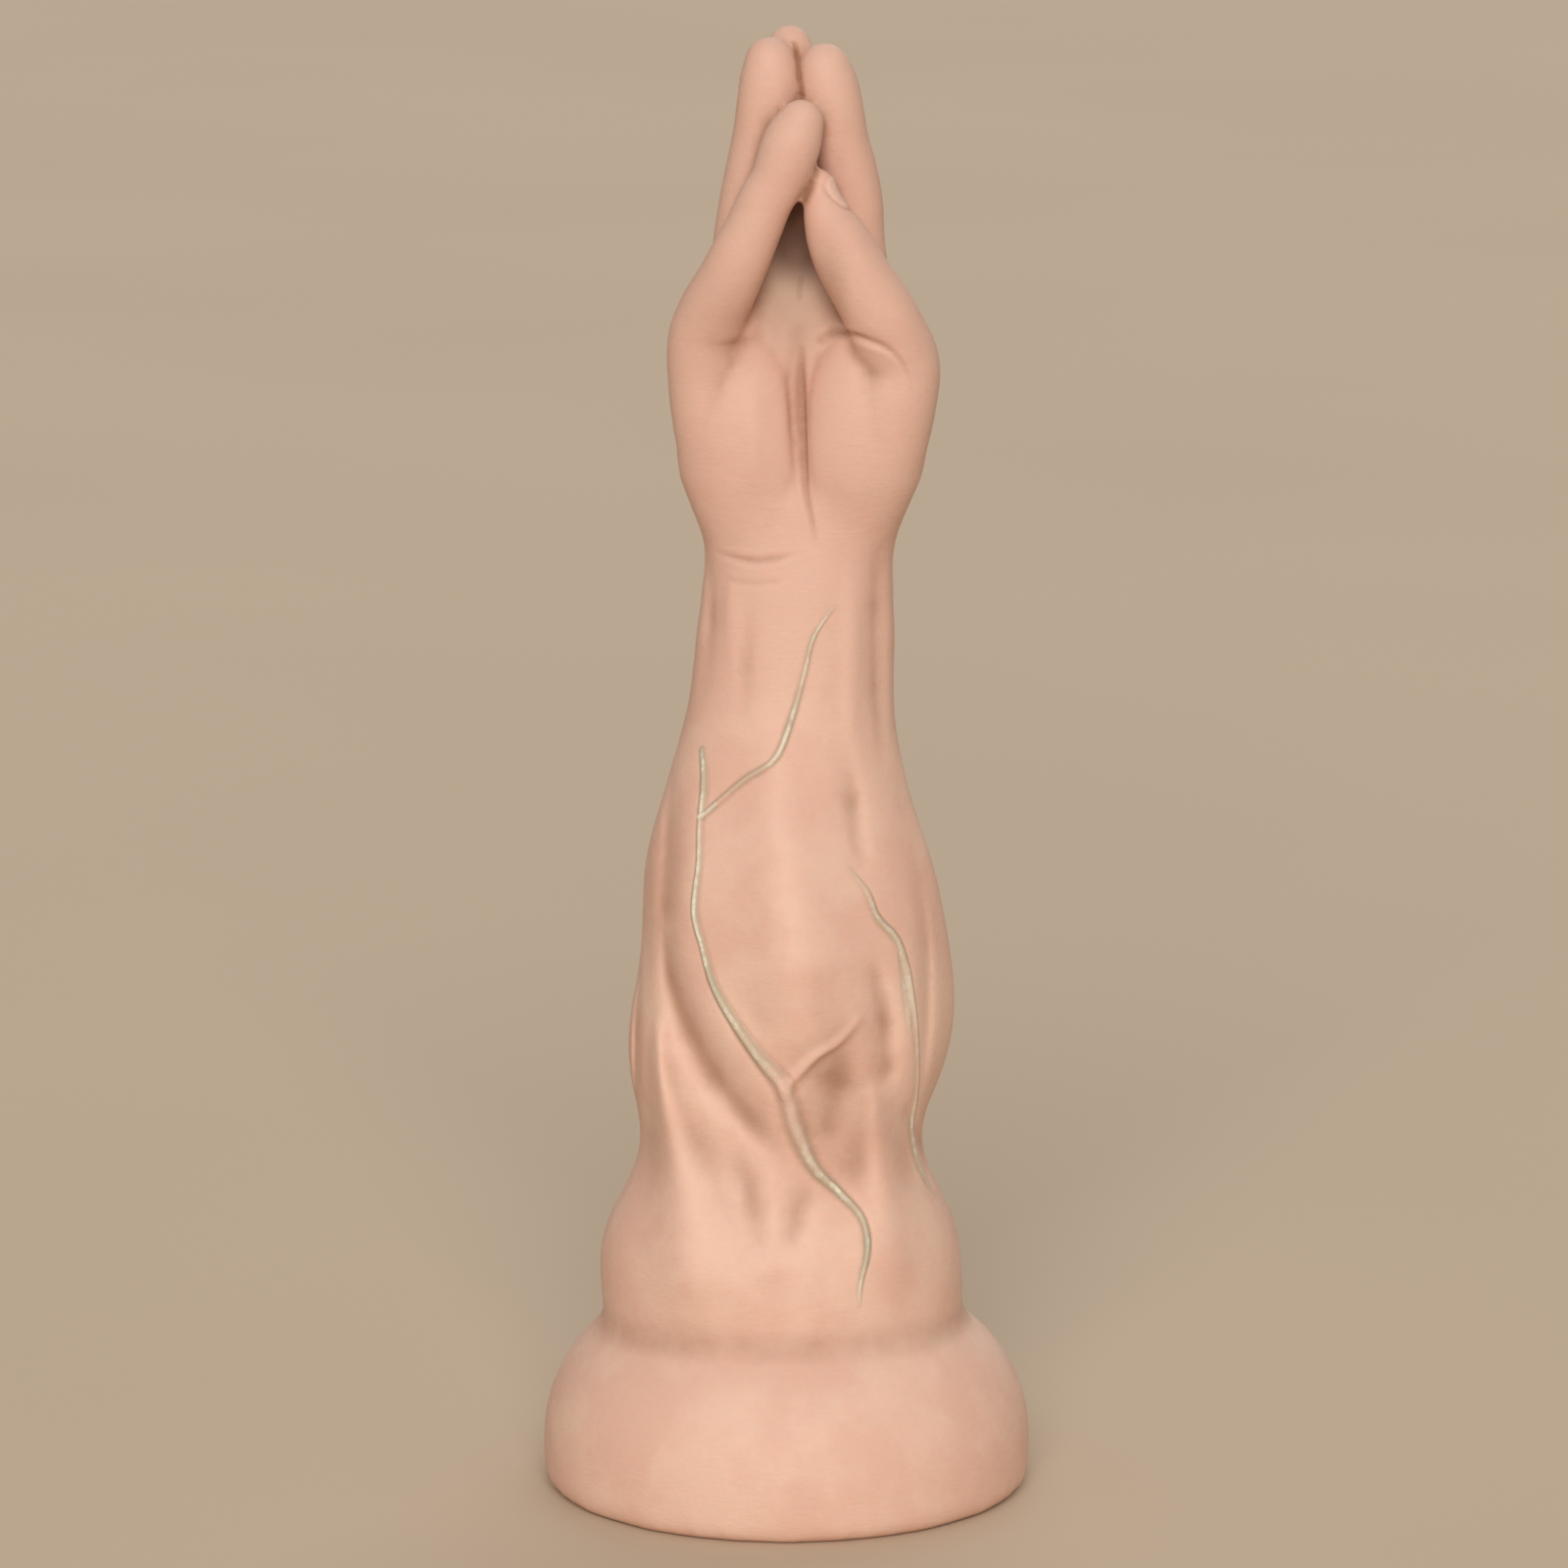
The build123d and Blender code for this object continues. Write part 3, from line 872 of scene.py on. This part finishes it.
def skin_finish(settings):
    """Matt soft rubber: mottled, with painted shade in its creases, hollows and valleys, and worn paint on
    the veins whose pale tops are partly a painted highlight and grey-green sides partly painted shade.
    """
    f = Finish("soft_skin_rubber")
    place = f.term(f.add("TexCoord"), "Object")
    vein_mask, cavity = f.attribute("vein"), f.attribute("cavity")

    patches = f.ramp(f.noise(place, 34, 4, 0.6), 0.4, 0.62)
    specks = f.noise(place, 420, 4, 0.65)
    base = f.mix(patches, opaque(settings.light_skin), opaque(settings.pink_skin))
    height = f.term(f.add("SeparateXYZ", sockets={"Vector": place}), 2)
    # darker and pinker towards the top
    base = f.mix(f.ramp(height, 0.16, 0.28) * 0.55, base, opaque(settings.hand_skin))
    # painted shade in the cup of the hand
    base = f.mix(f.attribute("cup") * 0.85, base, opaque(settings.cup_shade_colour))
    # painted shadow behind the crossed tips
    base = f.mix(f.attribute("deep") * 0.8, base, opaque(settings.deep_shadow_colour))
    # painted shade in creases, hollows, valleys and along contact lines, varied at random by the specks
    shade = cavity * 0.7 + f.attribute("brown") * 0.32 + f.attribute("touch") * 0.8
    shade = (shade + f.attribute("valley") * 0.14 + (specks - 0.5) * 0.14).clip()
    base = f.mix(shade, base, opaque(settings.painted_shade_colour))
    nail = f.attribute("nail")
    base = f.mix(nail * 0.4, base, opaque(settings.nail_skin))

    paint = f.attribute("paint")
    worn, stretches = f.noise(place, 330, 4, 0.75), f.noise(place, 62, 2)
    # the veins' paint, its sides darkened as painted shade and its top lightened as a painted highlight
    flank = (f.ramp(vein_mask, 0.3, 0.62) * paint * (0.5 + 0.6 * worn)).clip()
    left = f.ramp(stretches + (worn - 0.5) * 0.8, 0.38, 0.62)  # where the pale crest, both paint and painted highlight, isn't broken up
    crest = (f.ramp(vein_mask + (worn - 0.5) * 0.25, 0.56, 0.86) * paint * (0.22 + 0.75 * left)).clip()
    base = f.mix(flank, base, opaque(settings.vein_flank))
    base = f.mix(crest, base, opaque(settings.vein_crest))

    wrinkles = f.noise(f.stretched(place, (1.0, 1.0, 3.2)), 260, 3, 0.6)
    pores = f.noise(place, 1300, 2, 0.5)
    grain = wrinkles * 0.7 + pores * 0.35 + worn * crest * 0.8
    bump = f.add("Bump", sockets={"Strength": 0.5, "Distance": 0.4 * MM, "Height": grain})
    roughness = (0.5 + 0.12 * specks + 0.08 * cavity - 0.05 * crest - 0.12 * nail).clip()
    shader = f.add("BsdfPrincipled", sockets={
        "Base Color": base, "Roughness": roughness, "Normal": f.term(bump),
        "IOR": 1.41, "Specular IOR Level": 0.32, "Subsurface Weight": 0.22,
        "Subsurface Radius": (1.0, 0.42, 0.25), "Subsurface Scale": 3 * MM})
    f.add("OutputMaterial", sockets={"Surface": f.term(shader)})
    return f.material


def floor_finish(settings):
    """Pale matt floor paint with a hardly seen unevenness."""
    f = Finish("pale_floor")
    place = f.term(f.add("TexCoord"), "Object")
    tone = f.ramp(f.noise(place, 1.5, 2), 0.3, 0.7)
    darker = tuple(c * 0.97 for c in settings.floor_colour)
    colour = f.mix(tone, opaque(settings.floor_colour), opaque(darker))
    shader = f.add("BsdfPrincipled", sockets={
        "Base Color": colour, "Roughness": 0.9, "Specular IOR Level": 0.1})
    f.add("OutputMaterial", sockets={"Surface": f.term(shader)})
    return f.material


# ---------------------------------------------------------------- refining and masks

PLAIN_MARGIN = 4  # skin farther than this from every fine line, in mm, is plain
PLAIN_FACES_KEPT = 0.68
FINE_MARGIN, VEIN_MARGIN = 3.2, 1.9  # how far round the lines, in mm, the skin is made finer
FINE_RELAXING = 6
VALLEY_ROUNDS, VALLEY_DEPTH = 90, 2.2 * MM  # broad hollows, which are painted with shade: how far they are smoothed over, how deep
CAVITY_ROUNDS, CAVITY_DEPTH = 10, 0.34 * MM  # creases and other narrow hollows, which are painted with shade
SOFTENING = 3


def refine(piece, weights):
    """Subdivides the faces that have a point with a weight."""
    mesh = piece.data
    marked = weights > 0
    faces = np.array([marked[list(face.vertices)].any() for face in mesh.polygons])
    mesh.vertices.foreach_set("select", np.zeros(len(mesh.vertices), bool))
    mesh.edges.foreach_set("select", np.zeros(len(mesh.edges), bool))
    mesh.polygons.foreach_set("select", faces)
    select_only(piece)
    bpy.context.tool_settings.mesh_select_mode = (False, False, True)
    bpy.ops.object.mode_set(mode="EDIT")
    bpy.ops.mesh.subdivide(number_cuts=1)
    bpy.ops.object.mode_set(mode="OBJECT")


def closeness(piece, strokes, margin):
    """1 near the strokes' paths and 0 beyond the margin in mm."""
    points, normals = mesh_points(piece.data), mesh_normals(piece.data)
    tree = BVHTree.FromObject(piece, bpy.context.evaluated_depsgraph_get())
    near = np.zeros(len(points))
    for stroke in strokes:
        path, facing, *_ = on_skin(tree, stroke)
        rows, _, _ = nearest(points, normals, path, facing, margin * MM)
        near[rows] = 1
    return near


def hollow_of(mesh, rounds, depth):
    """How far the skin lies below its own smoothed form, from 0 to 1 at the depth or deeper."""
    points, normals, edges = mesh_points(mesh), mesh_normals(mesh), mesh_edges(mesh)
    smooth = points.copy()
    for _ in range(rounds):
        smooth += 0.5 * (neighbour_mean(edges, smooth, len(points)) - smooth)
    hollow = np.clip(((smooth - points) * normals).sum(1) / depth, 0, 1)[:, None]
    for _ in range(SOFTENING):
        hollow = 0.4 * hollow + 0.6 * neighbour_mean(edges, hollow, len(points))
    return hollow[:, 0]


def inside(points, mass, edge=0.45):
    """1 well inside an egg of clay and 0 outside it, with a soft edge."""
    axes = np.array(Euler([math.radians(angle) for angle in mass.turn]).to_matrix())
    distance = np.linalg.norm((points / MM - (mass.x, mass.y, mass.z)) @ axes / mass.sizes, axis=1)
    return smooth_step((1 + edge - distance) / (2 * edge))


# ---------------------------------------------------------------- operators


class CAST_OT_add_skin(bpy.types.Operator):
    """Models the whole casting as one skin, from clay forms to painted veins"""

    bl_idname = "cast.add_skin"
    bl_label = "Add Cast Hand and Forearm"

    def execute(self, context):
        settings = context.scene.cast_settings
        piece = block_out(settings)
        press(piece, WRIST_FORMS + PALM_FORMS + knuckle_strokes())
        # how far the skin lies in a broad valley, which is painted with shade
        set_attribute(piece.data, "valley", hollow_of(piece.data, VALLEY_ROUNDS, VALLEY_DEPTH))
        fine_lines = CREASES + joint_strokes()
        raised_lines = VEINS + BARE_VEINS
        all_lines = fine_lines + raised_lines
        worked = np.maximum(closeness(piece, all_lines + BACK_VEINS, PLAIN_MARGIN), near_nails(piece))
        thin(piece, 1 - worked, PLAIN_FACES_KEPT)
        refine(piece, np.maximum(closeness(piece, all_lines, FINE_MARGIN), near_nails(piece)))
        relax(piece.data, closeness(piece, all_lines, FINE_MARGIN), FINE_RELAXING)
        refine(piece, closeness(piece, raised_lines, VEIN_MARGIN))
        relax(piece.data, closeness(piece, raised_lines, VEIN_MARGIN), FINE_RELAXING)
        press(piece, BARE_VEINS + BACK_VEINS + fine_lines)
        near_vein, painted = press(piece, VEINS)
        set_attribute(piece.data, "vein", near_vein)
        set_attribute(piece.data, "paint", painted)
        set_attribute(piece.data, "nail", set_nails(piece))
        points = mesh_points(piece.data)
        # creases and narrow hollows, which are painted with shade and made a little rougher
        set_attribute(piece.data, "cavity", hollow_of(piece.data, CAVITY_ROUNDS, CAVITY_DEPTH))
        # where the painted shadow behind the crossed tips lies
        set_attribute(piece.data, "deep", inside(points, DEEP_HOLLOW))
        # painted shadow along the lines where the digits touch
        set_attribute(piece.data, "touch", press(piece, CONTACT_SHADOW_LINES)[0])
        # the eggs of painted shade
        brown = [inside(points, egg, 0.8) for egg in SHADE_PLACES]
        set_attribute(piece.data, "brown", np.max(brown, axis=0))
        # where the painted shade in the cup of the hand lies
        set_attribute(piece.data, "cup", inside(points, PALM_CUP))
        select_only(piece)
        bpy.ops.object.shade_smooth()
        piece.data.materials.append(skin_finish(settings))
        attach(piece, BODY)
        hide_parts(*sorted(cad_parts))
        return {"FINISHED"}


FLOOR_SIZE = 60  # metres
KEY_DIRECTION, KEY_SPREAD = (0.03, 1.0, -0.5), 34  # spreads are in degrees
BACK_DIRECTION, BACK_SPREAD, BACK_SHARE = (-0.2, -1.0, -0.7), 60, 0.35
AIR_COLOUR, AIR_STRENGTH = (1.0, 0.985, 0.96), 0.33


def add_sun(name, direction, spread, strength, colour):
    """Adds a broad soft light that shines along a direction, as even on the floor as on the piece."""
    bpy.ops.object.light_add(type="SUN", location=(0, 0, 2))
    light = bpy.context.object
    light.name = name
    light.rotation_euler = Vector(direction).to_track_quat("-Z", "Y").to_euler()
    light.data.angle = math.radians(spread)
    light.data.energy = strength
    light.data.color = colour


class CAST_OT_add_stage(bpy.types.Operator):
    """Adds the pale floor, the soft lights and the camera"""

    bl_idname = "cast.add_stage"
    bl_label = "Add Studio"

    def execute(self, context):
        settings = context.scene.cast_settings
        bpy.ops.object.select_all(action="DESELECT")
        bpy.ops.mesh.primitive_plane_add(size=FLOOR_SIZE)
        floor = context.object
        floor.name = "studio_floor"
        floor.data.materials.append(floor_finish(settings))

        key = settings.key_strength
        add_sun("key_light", KEY_DIRECTION, KEY_SPREAD, key, (1, 0.985, 0.965))
        add_sun("back_light", BACK_DIRECTION, BACK_SPREAD, key * BACK_SHARE, (1, 1, 1))

        context.scene.view_settings.view_transform = "Standard"
        world = bpy.data.worlds.new("studio_air")
        context.scene.world = world
        world.use_nodes = True
        sky = world.node_tree.nodes["Background"]
        sky.inputs["Color"].default_value = opaque(AIR_COLOUR)
        sky.inputs["Strength"].default_value = AIR_STRENGTH

        data = bpy.data.cameras.new("camera")
        data.lens = CAMERA_LENS
        camera = bpy.data.objects.new("camera", data)
        context.scene.collection.objects.link(camera)
        camera.location = CAMERA_PLACE
        camera.rotation_euler = (CAMERA_AIM - CAMERA_PLACE).to_track_quat("-Z", "Y").to_euler()
        context.scene.camera = camera
        return {"FINISHED"}


class CAST_PT_sidebar(bpy.types.Panel):
    """Lists the steps that make the casting and its studio"""

    bl_idname = "CAST_PT_sidebar"
    bl_label = "Cast Hand and Forearm"
    bl_space_type = "VIEW_3D"
    bl_region_type = "UI"
    bl_category = "Cast Hand"

    def draw(self, context):
        for operator in OPERATORS:
            self.layout.operator(operator.bl_idname)
        for name in CastSettings.__annotations__:
            self.layout.prop(context.scene.cast_settings, name)


OPERATORS = (CAST_OT_add_skin, CAST_OT_add_stage)
CLASSES = (CastSettings, *OPERATORS, CAST_PT_sidebar)


def register():
    """Makes the add-on's classes and settings known to Blender."""
    for cls in CLASSES:
        bpy.utils.register_class(cls)
    bpy.types.Scene.cast_settings = PointerProperty(type=CastSettings)


def unregister():
    """Takes them away again."""
    del bpy.types.Scene.cast_settings
    for cls in reversed(CLASSES):
        bpy.utils.unregister_class(cls)


def main():
    register()
    bpy.ops.cast.add_skin()
    bpy.ops.cast.add_stage()


if __name__ == "__main__":
    main()
